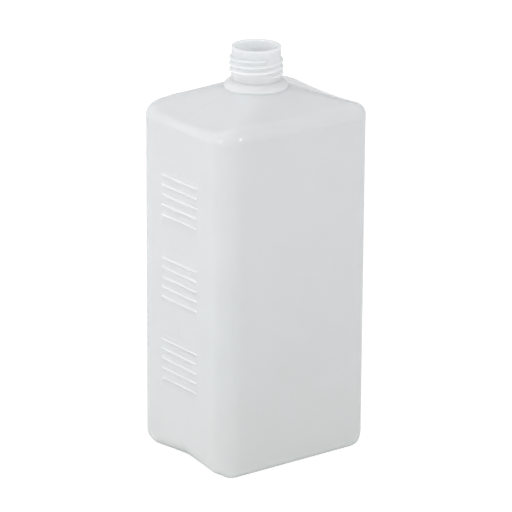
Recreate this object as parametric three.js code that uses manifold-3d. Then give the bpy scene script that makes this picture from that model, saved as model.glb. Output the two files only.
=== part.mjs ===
// Empty one-litre dispenser bottle, blown in one piece from natural polyethylene:
// a rectangular body, a hipped shoulder and an open screw neck.
// Millimetres, +Z up. X runs along the wide sides and Y along the narrow ones.
// The origin is the middle of the ground that the feet stand on, and the two
// mould halves meet in the plane Y = 0.

import * as THREE from 'three';
import { mergeVertices, toCreasedNormals } from 'three/addons/utils/BufferGeometryUtils.js';
import Module from 'manifold-3d';

// Body
const width = 92.5;               // over the narrow sides
const depth = 72.1;               // over the wide sides
const height = 208;               // ground to rim
const cornerRadius = 11.5;        // upright corners
const wall = 1.0;                 // blown wall of body and shoulder

// Base
const footRadius = 4;             // edge between base and wide sides
const heelRadius = 8.5;           // edge between base and narrow sides
const pinchRadius = 12.8;         // that edge where the mould halves meet
const pinchLift = 0.5;            // rise of the ground line there
const heelTurn = 45;              // degrees round a corner where foot gives way to heel
const heelBlend = 9;              // degrees either side over which it does
const footWidth = 5;              // flat ring that the bottle stands on
const footCorner = 6;             // inner corners of that ring
const pushUp = 3;                 // hollow of the base above the ground
const pushUpRun = 7;              // ring to hollow, measured inwards
const baseWall = 1.4;
const scarWidth = 1.2;            // weld left under the base where the parison was pinched off
const scarHeight = 0.6;

// Shoulder
const shoulderHeight = 172.7;     // ground to the step under the shoulder
const stepDepth = 0.25;           // how far the walls lie back under the shoulder
const stepRun = 0.9;              // height over which they do
const endEaves = 175.5;           // height where the narrow roof panels would meet the walls
const sideEaves = 177.5;          // the same for the wide ones
const hipSlope = 0.25;            // fall of the hips away from the plinth, over their run
const hipBlend = 1.2;             // height over which two panels blend into a hip
const coneBlend = 1.5;            // the same where a panel blends into the fall of the hips
const cornerLift = 2.5;           // how far the roof swells over its corners
const cornerReach = 2;            // power by which the swelling dies away from them

// Plinth and neck
const plinthRadius = 16;          // crease between roof and plinth
const plinthHeight = 3.4;         // crease to the foot of the neck
const plinthEdge = 1;             // upright edge at that crease
const plinthCrown = 0.15;         // how far its sloping top swells
const neckLength = 17;            // foot to rim
const neckDiameter = 24.2;
const neckRootDiameter = 24.5;
const neckBlend = 0.8;            // rounding between plinth and neck
const boreDiameter = 20.5;
const boreFlare = 4;              // length over which the bore widens to the shoulder
const rimRounding = 0.35;

// Thread
const threadDiameter = 26.4;      // over the crests
const threadPitch = 3.1;
const threadTurns = 3;
const threadGap = 4.7;            // rim to the middle of the first turn
const threadStart = -92;          // degrees from +X, where both ends lie
const threadRoot = 2.0;           // width of the ridge where it leaves the neck
const threadCrest = 0.8;
const threadRunOut = 30;          // degrees over which each end sinks into the neck

// Grip ribs on the narrow sides
const ribLength = 30;
const ribWidth = 1.5;
const ribHeight = 0.5;
const ribSpacing = 5.1;
const ribsInGroup = 5;
const groupSpacing = 42.7;
const groups = 3;
const ribsCentre = 93.9;          // height of the middle of all groups

// Fineness
const cornerSteps = 8;
const sideSteps = 4;
const edgeSteps = 6;
const roundSteps = 6;
const roofSteps = 4;
const turnSteps = 56;
const barSteps = 3;               // round each end of a rib
const creaseAngle = 20;           // degrees between faces that are shaded as one
const threadSteps = 40;           // stations in one turn of the thread
const roofLean = 1.1;             // upright thickness of the roof for one of its wall
const sideShare = 0.03;           // what is left of a side's length where its panel ends
const sunk = 0.4;                 // how far a joined solid reaches into its carrier
const joined = 0.01;              // corners nearer than this become one

const wasm = await Module();
wasm.setup();

const degrees = THREE.MathUtils.degToRad;
const roofTop = height - neckLength - plinthHeight;

// One closed solid from a closed geometry
function solid(geometry) {
  const bare = geometry.index ? geometry.toNonIndexed() : geometry.clone();
  bare.deleteAttribute('normal');
  bare.deleteAttribute('uv');
  const merged = mergeVertices(bare, 1e-5);
  return new wasm.Manifold(new wasm.Mesh({
    numProp: 3,
    vertProperties: new Float32Array(merged.attributes.position.array),
    triVerts: new Uint32Array(merged.index.array),
  }));
}

// A closed skin over a stack of rings of equal count, with a fan at each end
function loft(rings) {
  const count = rings[0].length;
  const points = rings.flat();
  const faces = [];
  for (let r = 0; r + 1 < rings.length; r++) {
    for (let i = 0; i < count; i++) {
      const j = (i + 1) % count;
      const a = r * count + i;
      const b = r * count + j;
      faces.push(a, b, b + count, a, b + count, a + count);
    }
  }
  for (const [start, inward] of [[0, true], [(rings.length - 1) * count, false]]) {
    const middle = new THREE.Vector3();
    for (let i = 0; i < count; i++) middle.addScaledVector(points[start + i], 1 / count);
    const hub = points.push(middle) - 1;
    for (let i = 0; i < count; i++) {
      const a = start + i;
      const b = start + (i + 1) % count;
      faces.push(...(inward ? [hub, b, a] : [hub, a, b]));
    }
  }
  const geometry = new THREE.BufferGeometry().setFromPoints(points);
  geometry.setIndex(faces);
  return geometry;
}

// Stations round a rounded rectangle, anticlockwise from above: where each lies,
// which way it faces, and how far it has turned from its narrow side, in degrees
function stations(halfX, halfY, radius) {
  const list = [];
  for (let quarter = 0; quarter < 4; quarter++) {
    const signX = quarter === 0 || quarter === 3 ? 1 : -1;
    const signY = quarter < 2 ? 1 : -1;
    const centre = new THREE.Vector2(signX * (halfX - radius), signY * (halfY - radius));
    for (let i = 0; i <= cornerSteps; i++) {
      const angle = (quarter + i / cornerSteps) * Math.PI / 2;
      const face = new THREE.Vector2(Math.cos(angle), Math.sin(angle));
      const turn = THREE.MathUtils.radToDeg(Math.atan2(Math.abs(face.y), Math.abs(face.x)));
      list.push({ place: centre.clone().addScaledVector(face, radius), face, turn });
    }
    const { place, face, turn } = list.at(-1);
    const alongX = quarter % 2 === 0;
    for (let i = 1; i < sideSteps; i++) {
      const share = 1 - 2 * i / sideSteps;
      const next = alongX
        ? new THREE.Vector2(place.x * share, place.y)
        : new THREE.Vector2(place.x, place.y * share);
      list.push({ place: next, face, turn });
    }
  }
  return list;
}

// How near a station on a narrow side lies to the meeting of the mould halves, 0 to 1
function pinch({ place, face }) {
  const reach = depth / 2 - cornerRadius;
  return Math.abs(face.x) > 0.999 ? Math.max(0, 1 - Math.abs(place.y) / reach) : 0;
}

// Radius of the base's edge at a station: a tight foot along the wide sides,
// a round heel along the narrow ones, roundest where the mould halves meet
function edgeRadius(station) {
  const heel = 1 - THREE.MathUtils.smoothstep(station.turn, heelTurn - heelBlend, heelTurn + heelBlend);
  const round = THREE.MathUtils.lerp(footRadius, heelRadius, heel);
  return round + (pinchRadius - heelRadius) * pinch(station);
}

// The lower of two heights, eased over a blend where they are close
function lower(a, b, blend) {
  const share = THREE.MathUtils.clamp(0.5 + (b - a) / (2 * blend), 0, 1);
  return THREE.MathUtils.lerp(b, a, share) - blend * share * (1 - share);
}

// Height of the roof over a place: four panels that rise from the eaves to the plinth and
// swell a little over the corners, and between them the hips, which fall like a cone
function roofAt({ x, y }) {
  const panel = (along, size, eaves) =>
    roofTop - (roofTop - eaves) * (Math.abs(along) - plinthRadius) / (size / 2 - plinthRadius);
  const ends = panel(x, width, endEaves);
  const sides = panel(y, depth, sideEaves);
  const hips = roofTop - hipSlope * (Math.hypot(x, y) - plinthRadius);
  const swell = cornerLift * Math.abs(4 * x * y / (width * depth)) ** cornerReach;
  return lower(lower(ends, sides, hipBlend) + swell, hips, coneBlend);
}

// The ring of the skin that lies inside the given stations by an inset of each
function ringAt(list, inset, level) {
  return list.map((station) => {
    const { x, y } = station.place.clone().addScaledVector(station.face, -inset(station));
    return new THREE.Vector3(x, y, level(station));
  });
}

// The body from the base to under the collar, made smaller all round by a skin
function bodySolid(skin, floor) {
  const halfX = width / 2 - stepDepth - skin;
  const halfY = depth / 2 - stepDepth - skin;
  const walls = stations(halfX, halfY, cornerRadius - skin);
  const rings = [];

  // base: hollow, flat foot ring, and the rounded edge up to the wall
  const edge = (station) => edgeRadius(station) - skin;
  const lift = (station) => floor + pinchLift * pinch(station);
  const footX = halfX + skin - heelRadius - footWidth;
  const footY = halfY + skin - footRadius - footWidth;
  const hollow = stations(footX - pushUpRun, footY - pushUpRun, footCorner);
  rings.push(ringAt(hollow, () => 0, () => floor + pushUp));
  rings.push(ringAt(stations(footX, footY, footCorner), () => 0, lift));
  for (let i = 0; i <= edgeSteps; i++) {
    const angle = (i / edgeSteps) * Math.PI / 2;
    rings.push(ringAt(
      walls,
      (s) => edge(s) * (1 - Math.sin(angle)),
      (s) => lift(s) + edge(s) * (1 - Math.cos(angle)),
    ));
  }

  // walls and the step under the shoulder
  rings.push(ringAt(walls, () => 0, () => shoulderHeight - stepRun));
  const outer = stations(halfX + stepDepth, halfY + stepDepth, cornerRadius - skin + stepDepth);
  rings.push(ringAt(outer, () => 0, () => shoulderHeight));

  // bend: an arc from the step at each station into the slope that the roof has there
  const roof = (place) => roofAt(place) - skin * roofLean;
  const bends = outer.map(({ place, face }) => {
    const rise = roof(place) - shoulderHeight;
    let slope = 0;
    let radius = rise;
    for (let i = 0; i < 6; i++) {
      const run = radius * (1 - Math.sin(slope));
      slope = Math.atan2(roof(place.clone().addScaledVector(face, -run)) - roof(place), run);
      radius = rise / Math.tan(Math.PI / 4 - slope / 2);
    }
    return { place, face, slope, radius };
  });
  for (let i = 1; i <= roundSteps; i++) {
    const angle = (s) => (i / roundSteps) * (Math.PI / 2 - s.slope);
    rings.push(ringAt(
      bends,
      (s) => s.radius * (1 - Math.cos(angle(s))),
      (s) => shoulderHeight + s.radius * Math.sin(angle(s)),
    ));
  }

  // roof: straight in plan from the bend to the plinth's edge where that faces the same way
  const low = rings.at(-1);
  const plinth = plinthRadius - skin;
  const high = outer.map(({ place, face }) => {
    const aside = place.clone().addScaledVector(face, -place.dot(face)).multiplyScalar(sideShare);
    return face.clone().multiplyScalar(plinth).add(aside);
  });
  for (let i = 1; i <= roofSteps; i++) {
    rings.push(low.map((start, n) => {
      const place = new THREE.Vector2(start.x, start.y).lerp(high[n], i / roofSteps);
      return new THREE.Vector3(place.x, place.y, roof(place));
    }));
  }
  return solid(loft(rings));
}

// A solid of revolution from an outline that starts and ends on the axis
function turned(outline) {
  const profile = outline.map(([radius, level]) => new THREE.Vector2(radius, level));
  const geometry = new THREE.LatheGeometry(profile, turnSteps);
  geometry.rotateX(Math.PI / 2);
  return solid(geometry);
}

// Plinth and neck, from under the roof to the rim
function neckSolid() {
  const foot = height - neckLength;
  const rim = neckDiameter / 2;
  const root = neckRootDiameter / 2;
  return turned([
    [0, roofTop - plinthHeight],
    [plinthRadius - sunk, roofTop - plinthHeight],
    [plinthRadius, roofTop + plinthEdge],
    [(plinthRadius + root) / 2 + plinthCrown, (roofTop + foot) / 2 + plinthCrown],
    [root + neckBlend, foot],
    [root + 0.3 * neckBlend, foot + 0.35 * neckBlend],
    [root, foot + neckBlend],
    [rim, height - threadGap],
    [rim, height - rimRounding],
    [rim - rimRounding, height],
    [0, height],
  ]);
}

// The bore, from the shoulder's hollow out through the rim
function boreSolid() {
  const bore = boreDiameter / 2;
  const base = roofTop - wall;
  return turned([
    [0, base - boreFlare],
    [bore, base - boreFlare],
    [plinthRadius - 2 * wall, base - sunk],
    [bore, base + boreFlare],
    [bore, height - rimRounding],
    [bore + rimRounding, height + sunk],
    [0, height + sunk],
  ]);
}

// The screw thread: a ridge swept along a helix, whose ends sink into the neck
function threadSolid() {
  const steps = threadTurns * threadSteps;
  const first = height - threadGap - threadTurns * threadPitch;
  const inner = neckDiameter / 2 - sunk;
  const sections = [];
  for (let i = 0; i <= steps; i++) {
    const turned = (i / steps) * threadTurns * 360;
    const near = Math.min(turned, threadTurns * 360 - turned) / threadRunOut;
    const grown = THREE.MathUtils.smoothstep(near, 0, 1);
    const crest = inner + 0.05 + (threadDiameter / 2 - inner - 0.05) * grown;
    const level = first + threadPitch * turned / 360;
    const angle = degrees(threadStart + turned);
    const at = (radius, offset) => new THREE.Vector3(
      radius * Math.cos(angle), radius * Math.sin(angle), level + offset,
    );
    sections.push([
      at(inner, -threadRoot / 2),
      at(crest, -threadCrest / 2),
      at(crest, threadCrest / 2),
      at(inner, threadRoot / 2),
    ]);
  }
  return solid(loft(sections));
}

// A low bar with round ends and sloping flanks, lying along X on the plane Z = 0,
// with its root sunk below that plane
function bar(length, breadth, rise) {
  const outline = (inset, level) => {
    const points = [];
    for (let i = 0; i < 2 * (barSteps + 1); i++) {
      const end = i <= barSteps ? 1 : -1;
      const angle = (i - (end < 0 ? 1 : 0)) / barSteps * Math.PI - Math.PI / 2;
      const round = breadth / 2 - inset;
      points.push(new THREE.Vector3(
        end * (length - breadth) / 2 + round * Math.cos(angle),
        round * Math.sin(angle),
        level,
      ));
    }
    return points;
  };
  return loft([outline(0, -sunk), outline(0, 0.3 * rise), outline(0.25 * breadth, rise)]);
}

// The grip ribs of both narrow sides, in groups one above the other
function ribSolids() {
  const list = [];
  for (const side of [-1, 1]) {
    for (let group = 0; group < groups; group++) {
      for (let rib = 0; rib < ribsInGroup; rib++) {
        const level = ribsCentre
          + (group - (groups - 1) / 2) * groupSpacing
          + (rib - (ribsInGroup - 1) / 2) * ribSpacing;
        const place = new THREE.Matrix4().makeBasis(
          new THREE.Vector3(0, side, 0),
          new THREE.Vector3(0, 0, 1),
          new THREE.Vector3(side, 0, 0),
        ).setPosition(side * (width / 2 - stepDepth), 0, level);
        list.push(solid(bar(ribLength, ribWidth, ribHeight).applyMatrix4(place)));
      }
    }
  }
  return list;
}

// The weld across the hollow of the base, in the plane where the mould halves meet
function scarSolid() {
  const length = width - 2 * (heelRadius + footWidth + pushUpRun);
  const place = new THREE.Matrix4().makeBasis(
    new THREE.Vector3(1, 0, 0),
    new THREE.Vector3(0, -1, 0),
    new THREE.Vector3(0, 0, -1),
  ).setPosition(0, 0, pushUp);
  return solid(bar(length, scarWidth, scarHeight).applyMatrix4(place));
}

const outside = [neckSolid(), threadSolid(), scarSolid(), ...ribSolids()]
  .reduce((whole, next) => whole.add(next), bodySolid(0, 0));
const bottleSolid = outside
  .subtract(bodySolid(wall, baseWall))
  .subtract(boreSolid())
  .simplify(joined);

const flesh = bottleSolid.getMesh();
const geometry = new THREE.BufferGeometry();
geometry.setAttribute('position', new THREE.BufferAttribute(flesh.vertProperties, 3));
geometry.setIndex(new THREE.BufferAttribute(flesh.triVerts, 1));

const polyethylene = new THREE.MeshStandardMaterial({
  color: 0xe6e9ec,
  roughness: 0.45,
  metalness: 0,
});
const bottle = new THREE.Mesh(toCreasedNormals(geometry, degrees(creaseAngle)), polyethylene);
bottle.name = 'bottle';

const group = new THREE.Group();
group.add(bottle);
export default group;
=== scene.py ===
"""Looks of an empty one-litre dispenser bottle, blown in one piece from natural polyethylene.

The bottle is one closed skin: rings of points run from the middle of its base up the
outside, over the rim and down the inside again. Geometry Nodes then raise on it what the
mould repeats: the grip ribs, the screw thread and the line where the mould halves meet.
Lengths are in millimetres until a mesh is made, and in metres from there on.
"""

import logging
import math
from collections.abc import Callable, Iterable
from dataclasses import dataclass, field
from enum import Enum

import bpy
import numpy as np
from mathutils import Matrix, Vector


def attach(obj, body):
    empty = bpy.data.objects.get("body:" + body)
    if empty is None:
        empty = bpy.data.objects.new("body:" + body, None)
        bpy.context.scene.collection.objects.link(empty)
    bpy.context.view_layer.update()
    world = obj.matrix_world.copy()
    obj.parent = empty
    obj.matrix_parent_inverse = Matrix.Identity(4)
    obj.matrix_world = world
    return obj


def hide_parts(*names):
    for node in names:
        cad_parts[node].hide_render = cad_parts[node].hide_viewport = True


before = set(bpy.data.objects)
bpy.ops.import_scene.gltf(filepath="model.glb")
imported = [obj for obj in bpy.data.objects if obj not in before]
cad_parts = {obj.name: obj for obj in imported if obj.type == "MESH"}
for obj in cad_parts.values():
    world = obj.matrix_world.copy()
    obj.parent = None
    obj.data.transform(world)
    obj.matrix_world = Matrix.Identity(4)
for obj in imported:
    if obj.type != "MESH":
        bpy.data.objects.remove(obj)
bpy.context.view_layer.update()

LOG = logging.getLogger("bottle")
MM = 0.001


class Side(Enum):
    """The two sides of the blown wall."""

    OUTER = 1.0
    INNER = 0.0


def linear(hex_colour: str, alpha: float = 1.0) -> tuple[float, float, float, float]:
    """Turns an sRGB hex value into the linear colour that shaders take.

    Args:
        hex_colour: The colour as "#RRGGBB".
        alpha: The fourth channel.

    Returns:
        Linear red, green and blue, and alpha.
    """
    parts = [int(hex_colour[i:i + 2], 16) / 255 for i in (1, 3, 5)]
    curve = [v / 12.92 if v <= 0.04045 else ((v + 0.055) / 1.055) ** 2.4 for v in parts]
    return curve[0], curve[1], curve[2], alpha


def add_node(
    tree: bpy.types.NodeTree,
    kind: str,
    settings: dict[str, object] | None = None,
    inputs: dict[str | int, object] | None = None,
) -> bpy.types.Node:
    """Adds a node with its settings, and fills or links its inputs.

    Args:
        tree: The tree that the node goes into.
        kind: Blender's name of the node's type.
        settings: Values of the node's own properties.
        inputs: Inputs by name or number, each given a value or the socket that feeds it.

    Returns:
        The new node.
    """
    node = tree.nodes.new(kind)
    for name, value in (settings or {}).items():
        setattr(node, name, value)
    for key, value in (inputs or {}).items():
        if isinstance(value, bpy.types.NodeSocket):
            tree.links.new(value, node.inputs[key])
        else:
            node.inputs[key].default_value = value
    return node


def smooth(share: float) -> float:
    """Eases a share from 0 to 1 with level ends."""
    share = min(1.0, max(0.0, share))
    return share * share * (3 - 2 * share)


@dataclass
class Stations:
    """Places round a rounded rectangle, anticlockwise from above."""

    place: np.ndarray
    face: np.ndarray
    turn: np.ndarray

    def ring(self, inset: np.ndarray | float, level: np.ndarray | float) -> np.ndarray:
        """Moves every place inwards and gives it a height.

        Args:
            inset: How far each place moves against the way it faces.
            level: Its height.

        Returns:
            The ring's points, one a row.
        """
        inset = np.broadcast_to(inset, self.turn.shape)
        flat = self.place - self.face * inset[:, None]
        return np.column_stack([flat, np.broadcast_to(level, self.turn.shape)])


class SkinBuilder:
    """Joins rings of points, one after another, into one closed skin."""

    def __init__(self) -> None:
        """Starts with no rings."""
        self.points: list[np.ndarray] = []
        self.outside: list[float] = []
        self.faces: list[tuple[int, ...]] = []
        self.last: range = range(0)

    def _lay(self, ring: np.ndarray, side: Side) -> range:
        """Stores a ring's points and returns their numbers."""
        start = len(self.points)
        self.points.extend(ring)
        self.outside.extend([side.value] * len(ring))
        return range(start, start + len(ring))

    def open_with(self, ring: np.ndarray, side: Side) -> None:
        """Lays the first ring and closes it with a fan round its middle."""
        self.last = self._lay(ring, side)
        hub = self._lay(ring.mean(axis=0)[None, :], side)[0]
        count = len(ring)
        self.faces += [(hub, self.last[(i + 1) % count], self.last[i]) for i in range(count)]

    def add(self, rings: Iterable[np.ndarray], side: Side) -> None:
        """Joins rings of the same count to the last one by four-sided faces."""
        for ring in rings:
            new = self._lay(ring, side)
            count = len(new)
            for i in range(count):
                j = (i + 1) % count
                self.faces.append((self.last[i], self.last[j], new[j], new[i]))
            self.last = new

    def bridge(self, ring: np.ndarray, side: Side) -> None:
        """Joins a ring of another count to the last one, going round both by angle."""
        old, new = self.last, self._lay(ring, side)
        below = self._angles(old)
        above = self._angles(new)
        i = int(np.argmin(below))
        j = int(np.argmin(above))
        below = np.roll(below, -i)
        above = np.roll(above, -j)
        a, b = 0, 0
        while a < len(old) or b < len(new):
            here, there = old[(i + a) % len(old)], new[(j + b) % len(new)]
            next_below = below[a + 1] if a + 1 < len(old) else below[0] + 2 * math.pi
            next_above = above[b + 1] if b + 1 < len(new) else above[0] + 2 * math.pi
            if b >= len(new) or (a < len(old) and next_below <= next_above):
                self.faces.append((here, old[(i + a + 1) % len(old)], there))
                a += 1
            else:
                self.faces.append((here, new[(j + b + 1) % len(new)], there))
                b += 1
        self.last = new

    def _angles(self, numbers: range) -> np.ndarray:
        """Returns the angle of each point about the bottle's axis, from 0 to a full turn."""
        points = np.array([self.points[n] for n in numbers])
        return np.mod(np.arctan2(points[:, 1], points[:, 0]), 2 * math.pi)

    def close(self) -> None:
        """Closes the last ring with a fan round its middle."""
        ring = np.array([self.points[n] for n in self.last])
        side = Side(self.outside[self.last[0]])
        hub = self._lay(ring.mean(axis=0)[None, :], side)[0]
        count = len(self.last)
        self.faces += [(hub, self.last[i], self.last[(i + 1) % count]) for i in range(count)]

    def mesh(self, name: str) -> bpy.types.Mesh:
        """Makes the mesh, in metres, with each point's side of the wall as "outside"."""
        mesh = bpy.data.meshes.new(name)
        points = [tuple(float(v) * MM for v in point) for point in self.points]
        mesh.from_pydata(points, [], self.faces)
        mesh.validate()
        marks = mesh.attributes.new("outside", "FLOAT", "POINT")
        marks.data.foreach_set("value", self.outside)
        return mesh


@dataclass
class GripRibs:
    """Raised bars on the narrow sides, in groups one above the other."""

    length: float = 30.0
    width: float = 1.5
    height: float = 0.5
    fillet: float = 0.3
    spacing: float = 5.1
    in_group: int = 5
    group_spacing: float = 42.7
    groups: int = 3
    centre: float = 93.9

    def levels(self) -> list[float]:
        """Returns the height of each rib of one narrow side, from the lowest."""
        return [
            self.centre
            + (group - (self.groups - 1) / 2) * self.group_spacing
            + (rib - (self.in_group - 1) / 2) * self.spacing
            for group in range(self.groups)
            for rib in range(self.in_group)
        ]


@dataclass
class Body:
    """The rectangular body with its base and its hipped shoulder."""

    width: float = 92.5
    depth: float = 72.1
    corner_radius: float = 11.5
    wall: float = 1.0

    foot_radius: float = 4.0
    heel_radius: float = 8.5
    pinch_radius: float = 12.8
    pinch_lift: float = 0.5
    pinch_round: float = 2.5
    heel_turn: float = 45.0
    heel_blend: float = 22.0
    foot_width: float = 5.0
    foot_corner: float = 6.0
    push_up: float = 3.0
    push_up_run: float = 7.0
    base_wall: float = 1.4
    scar_width: float = 1.2
    scar_height: float = 0.6

    shoulder_height: float = 172.7
    step_depth: float = 0.12
    step_run: float = 1.4
    end_eaves: float = 175.5
    side_eaves: float = 177.5
    hip_slope: float = 0.25
    hip_blend: float = 1.2
    cone_blend: float = 1.5
    corner_lift: float = 2.5
    corner_reach: float = 2.0
    roof_lean: float = 1.1
    roof_top: float = 187.6
    plinth_radius: float = 16.0
    side_share: float = 0.03

    wide_steps: int = 11
    push_up_steps: int = 8
    corner_steps: int = 16
    edge_steps: int = 14
    bend_steps: int = 12
    roof_steps: int = 16
    level_spacing: float = 5.0
    level_clearance: float = 1.2
    seam_marks: tuple[float, ...] = (0.0, 0.12, 0.26, 0.6, 1.4)
    plain_marks: tuple[float, ...] = (3.5, 7.0, 10.5, 13.2)
    rib_end_marks: tuple[float, ...] = (-1.2, -0.9, -0.6, -0.35, -0.1, 0.15, 0.4, 0.9, 3.0, 6.0)
    inner_levels: tuple[float, ...] = (16.0, 40.0, 70.0, 100.0, 130.0, 155.0)

    def stations(self, half_x: float, half_y: float, radius: float, ribs: GripRibs) -> Stations:
        """Lays places round a rounded rectangle, close together where ribs end.

        Args:
            half_x: Half the rectangle's width.
            half_y: Half its depth.
            radius: Its corners' radius.
            ribs: The ribs whose ends the narrow sides follow.

        Returns:
            The places, which way each faces and how far it has turned from the narrow side.
        """
        reach = self.depth / 2 - self.step_depth - self.corner_radius
        end = ribs.length / 2
        marks = [*self.seam_marks, *self.plain_marks, *(end + off for off in self.rib_end_marks)]
        narrow = [mark / reach for mark in sorted(marks, reverse=True)]
        narrow += [-share for share in reversed(narrow[:-1])]
        wide = list(np.linspace(1, -1, self.wide_steps + 1)[1:-1])
        place, face = [], []
        for quarter in range(4):
            sign = np.array([1 if quarter in (0, 3) else -1, 1 if quarter < 2 else -1])
            centre = sign * (half_x - radius, half_y - radius)
            for i in range(self.corner_steps + 1):
                angle = (quarter + i / self.corner_steps) * math.pi / 2
                face.append(np.array([math.cos(angle), math.sin(angle)]))
                place.append(centre + face[-1] * radius)
            start, way = place[-1], face[-1]
            along_x = quarter % 2 == 0
            for share in wide if along_x else narrow:
                step = (start[0] * share, start[1]) if along_x else (start[0], start[1] * share)
                place.append(np.array(step))
                face.append(way)
        faces = np.array(face)
        turn = np.degrees(np.arctan2(np.abs(faces[:, 1]), np.abs(faces[:, 0])))
        return Stations(np.array(place), faces, turn)

    def pinch(self, stations: Stations) -> np.ndarray:
        """Returns how near each station lies to the meeting of the mould halves, 0 to 1."""
        reach = self.depth / 2 - self.corner_radius
        away = np.hypot(stations.place[:, 1], self.pinch_round) - self.pinch_round
        near = np.clip(1 - away / (reach - self.pinch_round), 0, None)
        return np.where(np.abs(stations.face[:, 0]) > 0.999, near, 0)

    def edge_radius(self, stations: Stations) -> np.ndarray:
        """Returns the radius of the base's edge at each station."""
        low = self.heel_turn - self.heel_blend
        share = np.clip((stations.turn - low) / (2 * self.heel_blend), 0, 1)
        heel = 1 - share * share * (3 - 2 * share)
        radius = self.foot_radius + (self.heel_radius - self.foot_radius) * heel
        return radius + (self.pinch_radius - self.heel_radius) * self.pinch(stations)

    def base_rings(self, skin: float, floor: float, ribs: GripRibs) -> list[np.ndarray]:
        """Makes the rings of the base, from its hollow out to the foot of the wall.

        Args:
            skin: How far the surface lies inside the outer one.
            floor: How far it lies above the ground.
            ribs: The ribs whose ends the narrow sides follow.

        Returns:
            The rings, innermost first.
        """
        half_x = self.width / 2 - self.step_depth - skin
        half_y = self.depth / 2 - self.step_depth - skin
        walls = self.stations(half_x, half_y, self.corner_radius - skin, ribs)
        edge = self.edge_radius(walls) - skin
        lift = floor + self.pinch_lift * self.pinch(walls)
        foot_x = half_x + skin - self.heel_radius - self.foot_width
        foot_y = half_y + skin - self.foot_radius - self.foot_width
        rings = []
        for i in range(self.push_up_steps + 1):
            share = i / self.push_up_steps
            run = self.push_up_run * (1 - share)
            here = self.stations(foot_x - run, foot_y - run, self.foot_corner, ribs)
            fall = self.push_up * (1 - smooth(share))
            rings.append(here.ring(0, floor + fall + self.pinch_lift * self.pinch(here) * share))
        for angle in np.linspace(0, math.pi / 2, self.edge_steps + 1):
            inset = edge * (1 - math.sin(angle))
            rings.append(walls.ring(inset, lift + edge * (1 - math.cos(angle))))
        return rings

    def scar_rings(self, ribs: GripRibs) -> list[np.ndarray]:
        """Makes the rings of the weld under the base, from its crest to its root."""
        length = self.width / 2 - self.heel_radius - self.foot_width - self.push_up_run
        rings = []
        for share in (1.0, 0.8, 0.4, 0.0):
            half = self.scar_width * (0.5 - 0.3 * share)
            here = self.stations(length - 0.3 * share, half, 0.98 * half, ribs)
            rings.append(here.ring(0, self.push_up - self.scar_height * smooth(share)))
        return rings

    def wall_rings(self, skin: float, levels: list[float], ribs: GripRibs) -> list[np.ndarray]:
        """Makes the rings of the upright walls and of the step under the shoulder."""
        half_x = self.width / 2 - self.step_depth - skin
        half_y = self.depth / 2 - self.step_depth - skin
        walls = self.stations(half_x, half_y, self.corner_radius - skin, ribs)
        rings = [walls.ring(0, level) for level in levels]
        for share in (0.0, 0.25, 0.5, 0.75, 1.0):
            level = self.shoulder_height - self.step_run * (1 - share)
            rings.append(walls.ring(-self.step_depth * smooth(share), level))
        return rings

    def roof_at(self, place: np.ndarray) -> np.ndarray:
        """Returns the roof's height over each place.

        Four panels rise from the eaves to the plinth and swell a little over the corners,
        and between them the hips fall away from the plinth like a cone. Where two of them
        meet, the lower is eased in.

        Args:
            place: The places' X and Y, one a row.

        Returns:
            The heights.
        """
        def lower(a: np.ndarray, b: np.ndarray, blend: float) -> np.ndarray:
            """Takes the lower of two heights, eased over a blend where they are close."""
            share = np.clip(0.5 + (b - a) / (2 * blend), 0, 1)
            return b + (a - b) * share - blend * share * (1 - share)

        def panel(along: np.ndarray, size: float, eaves: float) -> np.ndarray:
            """Returns the height of a flat panel that rises from the eaves to the plinth."""
            run = size / 2 - self.plinth_radius
            return self.roof_top - (self.roof_top - eaves) * (along - self.plinth_radius) / run

        x, y = np.abs(place).T
        ends = panel(x, self.width, self.end_eaves)
        sides = panel(y, self.depth, self.side_eaves)
        hips = self.roof_top - self.hip_slope * (np.hypot(x, y) - self.plinth_radius)
        swell = self.corner_lift * (4 * x * y / (self.width * self.depth)) ** self.corner_reach
        return lower(lower(ends, sides, self.hip_blend) + swell, hips, self.cone_blend)

    def roof_rings(self, skin: float, ribs: GripRibs) -> list[np.ndarray]:
        """Makes the rings of the bend over the walls and of the hipped roof.

        Each station bends on an arc from the step into the slope that the roof has there.
        From the bend the rings run straight in plan to the plinth's edge.

        Args:
            skin: How far the surface lies inside the outer one.
            ribs: The ribs whose ends the narrow sides follow.

        Returns:
            The rings, lowest first.
        """
        half_x = self.width / 2 - skin
        half_y = self.depth / 2 - skin
        outer = self.stations(half_x, half_y, self.corner_radius - skin + self.step_depth, ribs)

        def roof(place: np.ndarray) -> np.ndarray:
            """Returns this surface's own height."""
            return self.roof_at(place) - skin * self.roof_lean

        eaves = roof(outer.place)
        rise = eaves - self.shoulder_height
        slope, radius = np.zeros(len(rise)), rise
        for _ in range(8):
            run = radius * (1 - np.sin(slope))
            slope = np.arctan2(roof(outer.place - outer.face * run[:, None]) - eaves, run)
            radius = rise / np.tan(math.pi / 4 - slope / 2)
        rings = []
        for share in np.linspace(0, 1, self.bend_steps + 1)[1:]:
            angle = share * (math.pi / 2 - slope)
            level = self.shoulder_height + radius * np.sin(angle)
            rings.append(outer.ring(radius * (1 - np.cos(angle)), level))
        reach = np.sum(outer.place * outer.face, axis=1)
        aside = (outer.place - outer.face * reach[:, None]) * self.side_share
        high = outer.face * (self.plinth_radius - skin) + aside
        low = rings[-1][:, :2]
        for share in np.linspace(0, 1, self.roof_steps + 1)[1:]:
            place = low + (high - low) * share
            rings.append(np.column_stack([place, roof(place)]))
        return rings

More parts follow.
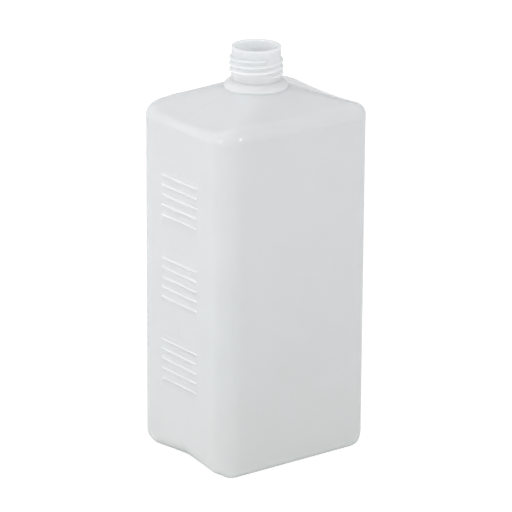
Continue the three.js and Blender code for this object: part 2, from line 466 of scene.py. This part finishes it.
    def wall_levels(self, ribs: GripRibs) -> list[float]:
        """Returns the heights of the outer wall's rings, close together over each rib."""
        start = self.pinch_radius + self.pinch_lift + 1.5
        end = self.shoulder_height - self.step_run
        half = ribs.width / 2 + ribs.fillet
        across = np.linspace(-half, half, 11)
        levels = {start, *(float(level + off) for level in ribs.levels() for off in across)}
        plain = np.arange(start + self.level_spacing, end - 2, self.level_spacing)
        for level in plain:
            if min(abs(level - known) for known in levels) > self.level_clearance:
                levels.add(float(level))
        return sorted(levels)


@dataclass
class ScrewNeck:
    """The plinth on the shoulder, and the open neck with its screw thread."""

    height: float = 208.0
    length: float = 16.8
    plinth_radius: float = 16.0
    plinth_height: float = 3.6
    plinth_edge: float = 1.0
    plinth_crown: float = 0.22
    diameter: float = 24.2
    root_diameter: float = 24.5
    blend: float = 0.4
    bore: float = 20.5
    bore_flare: float = 4.0
    rim_rounding: float = 0.35
    wall: float = 1.0

    thread_diameter: float = 26.4
    pitch: float = 3.1
    turns: int = 3
    gap: float = 4.7
    start: float = -92.0
    root: float = 2.0
    crest: float = 0.6
    run_out: float = 30.0

    around: int = 192
    rows_in_pitch: int = 24

    def thread_foot(self) -> float:
        """Returns the height at which the thread's middle line starts."""
        return self.height - self.gap - self.turns * self.pitch

    def angles(self) -> np.ndarray:
        """Returns the angles round the neck, with more of them at the mould's parting."""
        even = np.arange(self.around) * 360 / self.around
        extra = [side + off for side in (0, 180) for off in (-1.2, -0.55, 0.55, 1.2)]
        return np.radians(np.unique(np.mod(np.concatenate([even, extra]), 360)))

    def outer_profile(self) -> list[tuple[float, float]]:
        """Returns radius and height of the outer rings, from the plinth to the rim."""
        foot = self.height - self.length
        roof = foot - self.plinth_height
        quarter = np.linspace(0, math.pi / 2, 7)
        blend, lip = self.blend, self.rim_rounding
        root, rim = self.root_diameter / 2, self.diameter / 2
        edge = roof + self.plinth_edge
        profile = [(self.plinth_radius, roof + 0.12), (self.plinth_radius, edge - 0.3)]
        for share in np.linspace(0.04, 0.96, 9):
            swell = self.plinth_crown * 4 * share * (1 - share)
            radius = self.plinth_radius + (root + blend - self.plinth_radius) * share
            profile.append((radius + swell, edge + (foot - edge) * share + swell))
        profile += [
            (root + blend * (1 - math.sin(a)), foot + blend * (1 - math.cos(a)))
            for a in quarter
        ]
        low = max(foot + blend + 0.2, self.thread_foot() - self.root)
        high = self.height - self.gap + self.root
        rows = round((high - low) / self.pitch * self.rows_in_pitch)
        for level in np.linspace(low, high, rows):
            share = (level - foot) / (self.height - self.gap - foot)
            profile.append((root + (rim - root) * min(1.0, share), float(level)))
        profile.append((rim, self.height - lip - 0.6))
        profile += [
            (rim - lip * (1 - math.cos(a)), self.height - lip * (1 - math.sin(a)))
            for a in quarter
        ]
        return profile

    def inner_profile(self) -> list[tuple[float, float]]:
        """Returns radius and height of the inner rings, from the rim to the shoulder."""
        lip, bore = self.rim_rounding, self.bore / 2
        roof = self.height - self.length - self.plinth_height - self.wall
        quarter = np.linspace(0, math.pi / 2, 5)
        profile = [
            (bore + lip * (1 - math.sin(a)), self.height - lip * (1 - math.cos(a)))
            for a in quarter
        ]
        plain = np.linspace(self.height - 2, roof + self.bore_flare, 8)
        profile += [(bore, float(level)) for level in plain]
        for share in np.linspace(0, 1, 7)[1:]:
            widened = (self.plinth_radius - self.wall - bore) * share ** 2
            profile.append((bore + widened, roof + 0.1 + (self.bore_flare - 0.1) * (1 - share)))
        return profile

    def rings(self, profile: list[tuple[float, float]]) -> list[np.ndarray]:
        """Turns a profile into rings about the neck's axis."""
        angles = self.angles()
        return [
            np.column_stack([r * np.cos(angles), r * np.sin(angles), np.full(len(angles), z)])
            for r, z in profile
        ]


@dataclass
class MouldRelief:
    """What the mould repeats on the skin, raised by Geometry Nodes: ribs, thread and seam."""

    ribs: GripRibs
    neck: ScrewNeck
    wall_half: float
    seam_width: float = 0.26
    seam_rise: float = 0.07
    seam_foot: float = 14.0

    def sizes(self) -> dict[str, float]:
        """Returns the tree's named inputs, lengths in metres and turns in radians."""
        ribs, neck = self.ribs, self.neck
        return {
            "Rib Length": ribs.length * MM,
            "Rib Width": ribs.width * MM,
            "Rib Height": ribs.height * MM,
            "Rib Fillet": ribs.fillet * MM,
            "Rib Spacing": ribs.spacing * MM,
            "Ribs in Group": float(ribs.in_group),
            "Group Spacing": ribs.group_spacing * MM,
            "Groups": float(ribs.groups),
            "Ribs Centre": ribs.centre * MM,
            "Wall Half Width": self.wall_half * MM,
            "Thread Foot": neck.thread_foot() * MM,
            "Thread Start": math.radians(neck.start),
            "Thread Pitch": neck.pitch * MM,
            "Thread Turns": float(neck.turns),
            "Thread Rise": (neck.thread_diameter - neck.diameter) / 2 * MM,
            "Thread Root": neck.root * MM,
            "Thread Crest": neck.crest * MM,
            "Thread Run-out": neck.run_out / 360,
            "Seam Width": self.seam_width * MM,
            "Seam Rise": self.seam_rise * MM,
            "Seam Foot": self.seam_foot * MM,
            "Seam Top": (neck.height - 0.8) * MM,
        }

    def tree(self, material: bpy.types.Material) -> bpy.types.NodeTree:
        """Builds the node tree that raises the relief.

        Args:
            material: The material that the finished skin takes.

        Returns:
            The tree, whose inputs are named as in sizes().
        """
        tree = bpy.data.node_groups.new("mould_relief", "GeometryNodeTree")
        tree.interface.new_socket("Geometry", in_out="INPUT", socket_type="NodeSocketGeometry")
        tree.interface.new_socket("Geometry", in_out="OUTPUT", socket_type="NodeSocketGeometry")
        for name in self.sizes():
            tree.interface.new_socket(name, in_out="INPUT", socket_type="NodeSocketFloat")
        given = add_node(tree, "NodeGroupInput").outputs
        place = add_node(tree, "GeometryNodeInputPosition").outputs[0]
        split = add_node(tree, "ShaderNodeSeparateXYZ", inputs={0: place}).outputs
        mark = add_node(
            tree, "GeometryNodeInputNamedAttribute", {"data_type": "FLOAT"}, {"Name": "outside"},
        ).outputs["Attribute"]

        def math_node(operation: str, *values: object) -> bpy.types.NodeSocket:
            """Adds a step of arithmetic and returns its result."""
            numbered = dict(enumerate(values))
            return add_node(tree, "ShaderNodeMath", {"operation": operation}, numbered).outputs[0]

        raised = self._rib_offset(tree, given, split, math_node)
        wound = self._thread_offset(tree, given, split, math_node)
        seam = self._seam_offset(tree, given, split, math_node)
        total = raised
        for offset in (wound, seam):
            total = add_node(
                tree, "ShaderNodeVectorMath", {"operation": "ADD"}, {0: total, 1: offset},
            ).outputs[0]
        masked = add_node(
            tree, "ShaderNodeVectorMath", {"operation": "SCALE"}, {0: total, "Scale": mark},
        ).outputs[0]
        moved = add_node(tree, "GeometryNodeSetPosition", inputs={
            "Geometry": given["Geometry"], "Offset": masked,
        })
        plain = add_node(tree, "GeometryNodeRealizeInstances", inputs={0: moved.outputs[0]})
        dressed = add_node(tree, "GeometryNodeSetMaterial", inputs={
            "Geometry": plain.outputs[0], "Material": material,
        })
        add_node(tree, "NodeGroupOutput", inputs={0: dressed.outputs[0]})
        return tree

    def _rib_offset(
        self,
        tree: bpy.types.NodeTree,
        given: bpy.types.NodeOutputs,
        split: bpy.types.NodeOutputs,
        step: Callable[..., bpy.types.NodeSocket],
    ) -> bpy.types.NodeSocket:
        """Raises the nearest rib: a round bar measured from its middle line.

        Args:
            tree: The tree being built.
            given: The tree's inputs.
            split: X, Y and Z of the point.
            step: Adds a step of arithmetic.

        Returns:
            The offset, along X.
        """
        def nearest(value: bpy.types.NodeSocket, spacing: str, count: str) -> bpy.types.NodeSocket:
            """Takes off the nearest of evenly spaced levels, counted about zero."""
            span = step("MULTIPLY", step("SUBTRACT", given[count], 1.0), 0.5)
            number = step("ROUND", step("ADD", step("DIVIDE", value, given[spacing]), span))
            kept = step("MINIMUM", step("MAXIMUM", number, 0.0), step("MULTIPLY", span, 2.0))
            level = step("MULTIPLY", step("SUBTRACT", kept, span), given[spacing])
            return step("SUBTRACT", value, level)

        from_centre = step("SUBTRACT", split[2], given["Ribs Centre"])
        in_group = nearest(from_centre, "Group Spacing", "Groups")
        above = nearest(in_group, "Rib Spacing", "Ribs in Group")
        straight = step("MULTIPLY", step("SUBTRACT", given["Rib Length"], given["Rib Width"]), 0.5)
        beyond = step("MAXIMUM", step("SUBTRACT", step("ABSOLUTE", split[1]), straight), 0.0)
        away = step("SQRT", step("ADD", step("POWER", beyond, 2.0), step("MULTIPLY", above, above)))
        half = step("MULTIPLY", given["Rib Width"], 0.5)
        height = add_node(tree, "ShaderNodeMapRange", {"interpolation_type": "SMOOTHSTEP"}, {
            "Value": away,
            "From Min": step("ADD", half, given["Rib Fillet"]),
            "From Max": step("MULTIPLY", half, 0.3),
            "To Min": 0.0,
            "To Max": given["Rib Height"],
        }).outputs["Result"]
        near_wall = step("SUBTRACT", given["Wall Half Width"], 0.2 * MM)
        on_wall = step("GREATER_THAN", step("ABSOLUTE", split[0]), near_wall)
        along = step("MULTIPLY", step("MULTIPLY", height, on_wall), step("SIGN", split[0]))
        return add_node(tree, "ShaderNodeCombineXYZ", inputs={0: along}).outputs[0]

    def _thread_offset(
        self,
        tree: bpy.types.NodeTree,
        given: bpy.types.NodeOutputs,
        split: bpy.types.NodeOutputs,
        step: Callable[..., bpy.types.NodeSocket],
    ) -> bpy.types.NodeSocket:
        """Raises the nearest turn of a right-hand ridge whose ends run out into the neck.

        Args:
            tree: The tree being built.
            given: The tree's inputs.
            split: X, Y and Z of the point.
            step: Adds a step of arithmetic.

        Returns:
            The offset, away from the axis.
        """
        angle = step("SUBTRACT", step("ARCTAN2", split[1], split[0]), given["Thread Start"])
        share = step("FRACT", step("DIVIDE", angle, 2 * math.pi))
        climbed = step("SUBTRACT", split[2], given["Thread Foot"])
        climbed = step("DIVIDE", climbed, given["Thread Pitch"])
        turn = step("ROUND", step("SUBTRACT", climbed, share))
        last = step("SUBTRACT", given["Thread Turns"], 1.0)
        turn = step("MINIMUM", step("MAXIMUM", turn, 0.0), last)
        done = step("ADD", turn, share)
        away = step("ABSOLUTE", step("SUBTRACT", climbed, done))
        away = step("MULTIPLY", away, given["Thread Pitch"])
        left = step("MINIMUM", done, step("SUBTRACT", given["Thread Turns"], done))
        grown = add_node(tree, "ShaderNodeMapRange", {"interpolation_type": "SMOOTHSTEP"}, {
            "Value": left,
            "From Min": 0.0,
            "From Max": given["Thread Run-out"],
            "To Min": 0.0,
            "To Max": given["Thread Rise"],
        }).outputs["Result"]
        flank = add_node(tree, "ShaderNodeMapRange", {"interpolation_type": "SMOOTHSTEP"}, {
            "Value": away,
            "From Min": step("MULTIPLY", given["Thread Root"], 0.5),
            "From Max": step("MULTIPLY", given["Thread Crest"], 0.3),
            "To Min": 0.0,
            "To Max": grown,
        }).outputs["Result"]
        flat = add_node(tree, "ShaderNodeCombineXYZ", inputs={0: split[0], 1: split[1]}).outputs[0]
        way = add_node(
            tree, "ShaderNodeVectorMath", {"operation": "NORMALIZE"}, {0: flat},
        ).outputs[0]
        return add_node(
            tree, "ShaderNodeVectorMath", {"operation": "SCALE"}, {0: way, "Scale": flank},
        ).outputs[0]

    def _seam_offset(
        self,
        tree: bpy.types.NodeTree,
        given: bpy.types.NodeOutputs,
        split: bpy.types.NodeOutputs,
        step: Callable[..., bpy.types.NodeSocket],
    ) -> bpy.types.NodeSocket:
        """Raises the fine line that the parting of the mould leaves in the plane Y = 0.

        Args:
            tree: The tree being built.
            given: The tree's inputs.
            split: X, Y and Z of the point.
            step: Adds a step of arithmetic.

        Returns:
            The offset, along the surface's normal.
        """
        height = add_node(tree, "ShaderNodeMapRange", {"interpolation_type": "SMOOTHSTEP"}, {
            "Value": step("ABSOLUTE", split[1]),
            "From Min": given["Seam Width"],
            "From Max": 0.0,
            "To Min": 0.0,
            "To Max": given["Seam Rise"],
        }).outputs["Result"]
        above = step("GREATER_THAN", split[2], given["Seam Foot"])
        below = step("LESS_THAN", split[2], given["Seam Top"])
        kept = step("MULTIPLY", step("MULTIPLY", above, below), height)
        way = add_node(tree, "GeometryNodeInputNormal").outputs[0]
        return add_node(
            tree, "ShaderNodeVectorMath", {"operation": "SCALE"}, {0: way, "Scale": kept},
        ).outputs[0]

    def apply(self, mesh: bpy.types.Mesh, material: bpy.types.Material) -> bpy.types.Object:
        """Raises the relief on a skin.

        Args:
            mesh: The plain skin.
            material: The material that it takes.

        Returns:
            An object whose plain mesh carries the relief.
        """
        draft = bpy.data.objects.new("bottle_skin", mesh)
        bpy.context.scene.collection.objects.link(draft)
        tree = self.tree(material)
        modifier = draft.modifiers.new("mould_relief", "NODES")
        modifier.node_group = tree
        ids = {
            item.name: item.identifier
            for item in tree.interface.items_tree
            if item.in_out == "INPUT"
        }
        for name, value in self.sizes().items():
            modifier[ids[name]] = value
        draft.update_tag()
        shaped = draft.evaluated_get(bpy.context.evaluated_depsgraph_get())
        finished = bpy.data.meshes.new_from_object(shaped)
        draft.modifiers.clear()
        draft.data = finished
        bpy.data.meshes.remove(mesh)
        bpy.data.node_groups.remove(tree)
        return draft


@dataclass(frozen=True)
class NaturalPolyethylene:
    """Uncoloured high-density polyethylene, blown in a sand-blasted mould.

    The plastic scatters light all through its wall, so it looks milky and lets light
    through, and the mould's fine grain gives it a satin sheen instead of a gloss.
    """

    thin: str = "#EDF5F5"
    # the darker colour serves both the random thickness tone and the painted shade low on the wall
    thick_and_shaded: str = "#E2E8E4"
    neck: str = "#F1F4F4"
    neck_from: float = 186.5
    neck_full: float = 190.0
    # painted shade: the colour darkens up the neck to the rim, toning down the light from above
    rim: str = "#CFD3D3"
    rim_shade_from: float = 194.0
    rim_shade_full: float = 207.0
    ior: float = 1.54
    roughness: tuple[float, float] = (0.13, 0.17)
    scatter: float = 1.0
    scatter_depth: float = 4.0 * MM
    neck_scatter_depth: float = 11.0 * MM
    grain: float = 0.5
    grain_rise: float = 0.005 * MM
    waviness: float = 26.0
    wave_rise: float = 0.16 * MM
    # painted shade: over this band the wall's colour darkens towards the ground
    shade_band: float = 150.0
    base_shade: float = 0.8
    unevenness: float = 0.5

    def material(self) -> bpy.types.Material:
        """Builds the material.

        Returns:
            The material, whose patterns read Object coordinates.
        """
        material = bpy.data.materials.new("natural_polyethylene")
        material.use_nodes = True
        tree = material.node_tree
        tree.nodes.clear()
        place = add_node(tree, "ShaderNodeTexCoord").outputs["Object"]

        # the wall's thickness wanders as the parison stretches, and painted shade darkens the wall
        # towards the bottom
        wander = add_node(tree, "ShaderNodeTexNoise", inputs={
            "Vector": place, "Scale": 1 / (self.waviness * MM), "Detail": 1.5, "Roughness": 0.45,
        }).outputs["Fac"]
        level = add_node(tree, "ShaderNodeSeparateXYZ", inputs={0: place}).outputs[2]
        # painted shade: over the lowest 150 mm the colour darkens towards the ground, where the
        # light falls off
        low = add_node(tree, "ShaderNodeMapRange", {"interpolation_type": "SMOOTHSTEP"}, {
            "Value": level, "From Min": self.shade_band * MM, "From Max": 0.0,
            "To Max": self.base_shade,
        }).outputs["Result"]
        uneven = add_node(
            tree, "ShaderNodeMath", {"operation": "MULTIPLY"}, {0: wander, 1: self.unevenness},
        ).outputs[0]
        thick_and_shaded = add_node(
            tree, "ShaderNodeMath", {"operation": "ADD", "use_clamp": True}, {0: low, 1: uneven},
        ).outputs[0]
        wall = add_node(tree, "ShaderNodeMix", {"data_type": "RGBA"}, {
            "Factor": thick_and_shaded, 6: linear(self.thin), 7: linear(self.thick_and_shaded),
        }).outputs[2]
        high = add_node(tree, "ShaderNodeMapRange", {"interpolation_type": "SMOOTHSTEP"}, {
            "Value": level, "From Min": self.neck_from * MM, "From Max": self.neck_full * MM,
        }).outputs["Result"]
        # painted shade: darker towards the rim, against the light from above
        rim_shade = add_node(tree, "ShaderNodeMapRange", {"interpolation_type": "SMOOTHSTEP"}, {
            "Value": level, "From Min": self.rim_shade_from * MM, "From Max": self.rim_shade_full * MM,
        }).outputs["Result"]
        neck = add_node(tree, "ShaderNodeMix", {"data_type": "RGBA"}, {
            "Factor": rim_shade, 6: linear(self.neck), 7: linear(self.rim),
        }).outputs[2]
        colour = add_node(tree, "ShaderNodeMix", {"data_type": "RGBA"}, {
            "Factor": high, 6: wall, 7: neck,
        }).outputs[2]

        # the mould's grain, drawn at half a millimetre so that it shows
        grain = add_node(tree, "ShaderNodeTexNoise", inputs={
            "Vector": place, "Scale": 1 / (self.grain * MM), "Detail": 2.0, "Roughness": 0.6,
        }).outputs["Fac"]
        rough = add_node(tree, "ShaderNodeMapRange", inputs={
            "Value": grain, "From Min": 0.3, "From Max": 0.7,
            "To Min": self.roughness[0], "To Max": self.roughness[1],
        }).outputs["Result"]
        waves = add_node(tree, "ShaderNodeBump", inputs={
            "Strength": 1.0, "Distance": self.wave_rise, "Height": wander,
        }).outputs[0]
        relief = add_node(tree, "ShaderNodeBump", inputs={
            "Strength": 1.0, "Distance": self.grain_rise, "Height": grain, "Normal": waves,
        }).outputs[0]
        depth = add_node(tree, "ShaderNodeMapRange", inputs={
            "Value": high, "To Min": self.scatter_depth, "To Max": self.neck_scatter_depth,
        }).outputs["Result"]
        plastic = add_node(tree, "ShaderNodeBsdfPrincipled", inputs={
            "Base Color": colour,
            "Roughness": rough,
            "IOR": self.ior,
            "Subsurface Weight": self.scatter,
            "Subsurface Radius": (1.0, 1.0, 1.0),
            "Subsurface Scale": depth,
            "Normal": relief,
        }).outputs[0]
        add_node(tree, "ShaderNodeOutputMaterial", inputs={"Surface": plastic})
        return material


@dataclass
class Bottle:
    """The whole bottle, which is one moulding."""

    ribs: GripRibs = field(default_factory=GripRibs)
    body: Body = field(default_factory=Body)
    neck: ScrewNeck = field(default_factory=ScrewNeck)
    finish: NaturalPolyethylene = field(default_factory=NaturalPolyethylene)
    sharp_from: float = 40.0

    def skin(self) -> bpy.types.Mesh:
        """Builds the closed skin without its relief.

        Returns:
            The mesh, outer wall, neck and inner wall in one.
        """
        body, ribs, neck = self.body, self.ribs, self.neck
        builder = SkinBuilder()
        crest, *weld = body.scar_rings(ribs)
        builder.open_with(crest, Side.OUTER)
        builder.add(weld, Side.OUTER)
        builder.add(body.base_rings(0, 0, ribs), Side.OUTER)
        builder.add(body.wall_rings(0, body.wall_levels(ribs), ribs), Side.OUTER)
        builder.add(body.roof_rings(0, ribs), Side.OUTER)
        plinth, *outer = neck.rings(neck.outer_profile())
        builder.bridge(plinth, Side.OUTER)
        builder.add(outer, Side.OUTER)
        builder.add(neck.rings(neck.inner_profile()), Side.INNER)
        roof, *below = reversed(body.roof_rings(body.wall, ribs))
        builder.bridge(roof, Side.INNER)
        builder.add(below, Side.INNER)
        inner_walls = body.wall_rings(body.wall, list(body.inner_levels), ribs)
        builder.add(reversed(inner_walls), Side.INNER)
        builder.add(reversed(body.base_rings(body.wall, body.base_wall, ribs)), Side.INNER)
        builder.close()
        return builder.mesh("bottle_skin")

    def build(self) -> bpy.types.Object:
        """Makes the bottle and puts it in the CAD node's place.

        Returns:
            The finished object.
        """
        material = self.finish.material()
        wall_half = self.body.width / 2 - self.body.step_depth
        relief = MouldRelief(self.ribs, self.neck, wall_half)
        bottle = relief.apply(self.skin(), material)
        mesh = bottle.data
        mesh.shade_smooth()
        mesh.set_sharp_from_angle(angle=math.radians(self.sharp_from))
        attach(bottle, "root")
        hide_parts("bottle")
        LOG.info("%s: %d faces, rides on root", bottle.name, len(mesh.polygons))
        return bottle


@dataclass
class Studio:
    """A white floor, soft light and the camera at the photograph's viewing angle."""

    floor_half: float = 4.0
    floor_colour: str = "#DEDEDE"
    ambient: float = 1.16
    zenith: float = 0.93
    right_dim: float = 0.27
    gloss: float = 0.50
    sky_from: float = 0.25
    sky_full: float = 0.9
    tint: str = "#FDFDFF"
    white: str = "#FFFFFF"
    glow: float = 0.92
    shadow: float = 0.16

    left_lamp: tuple[float, float, float] = (-1.49, -0.47, 0.53)
    left_size: float = 0.24
    left_power: float = 3.8
    right_lamp: tuple[float, float, float] = (0.61, -1.41, 0.6)
    right_size: float = 0.22
    right_power: float = 2.9

    azimuth: float = 36.4975
    elevation: float = 18.8165
    roll: float = 0.3467
    distance: float = 1.81672
    aim_height: float = 0.1056
    aim_pixel: tuple[float, float] = (-0.9096, -11.9487)
    focal_pixels: float = 3656.902
    picture: int = 512
    sensor: float = 36.0

    def build_floor(self) -> bpy.types.Object:
        """Lays the floor, white to the camera apart from the bottle's faint shadow."""
        material = bpy.data.materials.new("studio_floor")
        material.use_nodes = True
        tree = material.node_tree
        tree.nodes.clear()
        seen = add_node(tree, "ShaderNodeLightPath").outputs["Is Camera Ray"]
        plain = add_node(
            tree, "ShaderNodeBsdfDiffuse", inputs={"Color": linear(self.floor_colour)},
        ).outputs[0]
        faint = add_node(
            tree, "ShaderNodeBsdfDiffuse", inputs={"Color": (self.shadow,) * 3 + (1.0,)},
        ).outputs[0]
        glow = add_node(
            tree, "ShaderNodeEmission", inputs={"Color": linear(self.white), "Strength": self.glow},
        ).outputs[0]
        shown = add_node(tree, "ShaderNodeAddShader", inputs={0: faint, 1: glow}).outputs[0]
        mixed = add_node(
            tree, "ShaderNodeMixShader", inputs={0: seen, 1: plain, 2: shown},
        ).outputs[0]
        add_node(tree, "ShaderNodeOutputMaterial", inputs={"Surface": mixed})
        mesh = bpy.data.meshes.new("studio_floor")
        half = self.floor_half
        corners = [(-half, -half, 0), (half, -half, 0), (half, half, 0), (-half, half, 0)]
        mesh.from_pydata(corners, [], [(0, 1, 2, 3)])
        mesh.materials.append(material)
        floor = bpy.data.objects.new("studio_floor", mesh)
        bpy.context.scene.collection.objects.link(floor)
        return floor

    def build_world(self) -> None:
        """Fills the room with plain light, and shows white where nothing stands."""
        world = bpy.data.worlds.new("studio")
        bpy.context.scene.world = world
        world.use_nodes = True
        tree = world.node_tree
        tree.nodes.clear()
        path = add_node(tree, "ShaderNodeLightPath").outputs
        seen = add_node(
            tree, "ShaderNodeMath", {"operation": "MAXIMUM"},
            {0: path["Is Camera Ray"], 1: path["Is Transmission Ray"]},
        ).outputs[0]
        way = add_node(tree, "ShaderNodeTexCoord").outputs["Generated"]
        up = add_node(tree, "ShaderNodeSeparateXYZ", inputs={0: way}).outputs[2]
        strength = add_node(tree, "ShaderNodeMapRange", {"interpolation_type": "SMOOTHSTEP"}, {
            "Value": up, "From Min": self.sky_from, "From Max": self.sky_full,
            "To Min": self.ambient, "To Max": self.zenith,
        }).outputs["Result"]
        az = math.radians(self.azimuth)
        aside = add_node(tree, "ShaderNodeVectorMath", {"operation": "DOT_PRODUCT"}, {
            0: way, 1: (math.cos(az), -math.sin(az), 0.0),
        }).outputs["Value"]
        share = add_node(tree, "ShaderNodeMath", {"operation": "MULTIPLY_ADD"}, {
            0: aside, 1: -self.right_dim, 2: 1.0,
        }).outputs[0]
        strength = add_node(
            tree, "ShaderNodeMath", {"operation": "MULTIPLY"}, {0: strength, 1: share},
        ).outputs[0]
        tint = linear(self.tint)
        room = add_node(
            tree, "ShaderNodeBackground", inputs={"Color": tint, "Strength": strength},
        ).outputs[0]
        backdrop = add_node(
            tree, "ShaderNodeBackground", inputs={"Color": linear(self.white), "Strength": 1.0},
        ).outputs[0]
        dim = add_node(
            tree, "ShaderNodeBackground", inputs={"Color": tint, "Strength": self.gloss},
        ).outputs[0]
        lit = add_node(
            tree, "ShaderNodeMixShader", inputs={0: path["Is Glossy Ray"], 1: room, 2: dim},
        ).outputs[0]
        mixed = add_node(
            tree, "ShaderNodeMixShader", inputs={0: seen, 1: lit, 2: backdrop},
        ).outputs[0]
        add_node(tree, "ShaderNodeOutputWorld", inputs={"Surface": mixed})

    def add_lamp(
        self, name: str, place: tuple[float, float, float], size: float, power: float,
    ) -> None:
        """Hangs a soft square lamp that points at the bottle's middle.

        Args:
            name: What the lamp is.
            place: Where it hangs.
            size: Its side.
            power: Its power in watts.
        """
        lamp = bpy.data.lights.new(name, "AREA")
        lamp.size = size
        lamp.energy = power
        holder = bpy.data.objects.new(name, lamp)
        aim = Vector((0, 0, self.aim_height)) - Vector(place)
        holder.location = place
        holder.rotation_euler = aim.to_track_quat("-Z", "Y").to_euler()
        bpy.context.scene.collection.objects.link(holder)

    def build_camera(self) -> bpy.types.Object:
        """Sets a camera fitted to the photograph's view.

        Returns:
            The camera.
        """
        az, el, roll = (math.radians(v) for v in (self.azimuth, self.elevation, self.roll))
        back = Vector((-math.sin(az) * math.cos(el), -math.cos(az) * math.cos(el), math.sin(el)))
        right = Vector((0, 0, 1)).cross(back).normalized()
        up = back.cross(right)
        axes = Matrix((right, up, back)).transposed()
        aim = Vector((self.aim_pixel[0], -self.aim_pixel[1], -self.focal_pixels)).normalized()
        pan = aim.rotation_difference(Vector((0, 0, -1))).to_matrix()
        turned = axes @ pan @ Matrix.Rotation(roll, 3, "Z")
        data = bpy.data.cameras.new("studio_camera")
        data.sensor_width = self.sensor
        data.lens = self.focal_pixels / self.picture * self.sensor
        data.clip_start = 0.05
        data.clip_end = 50.0
        camera = bpy.data.objects.new("studio_camera", data)
        camera.matrix_world = turned.to_4x4()
        camera.location = Vector((0, 0, self.aim_height)) + back * self.distance
        bpy.context.scene.collection.objects.link(camera)
        bpy.context.scene.camera = camera
        return camera

    def build(self) -> None:
        """Builds the whole studio."""
        self.build_floor()
        self.build_world()
        self.add_lamp("left_lamp", self.left_lamp, self.left_size, self.left_power)
        self.add_lamp("right_lamp", self.right_lamp, self.right_size, self.right_power)
        self.build_camera()
        bpy.context.scene.view_settings.view_transform = "Standard"


def main() -> None:
    """Builds the bottle, then the studio round it."""
    logging.basicConfig(level=logging.INFO, format="%(name)s %(message)s")
    Bottle().build()
    Studio().build()


if __name__ == "__main__":
    main()
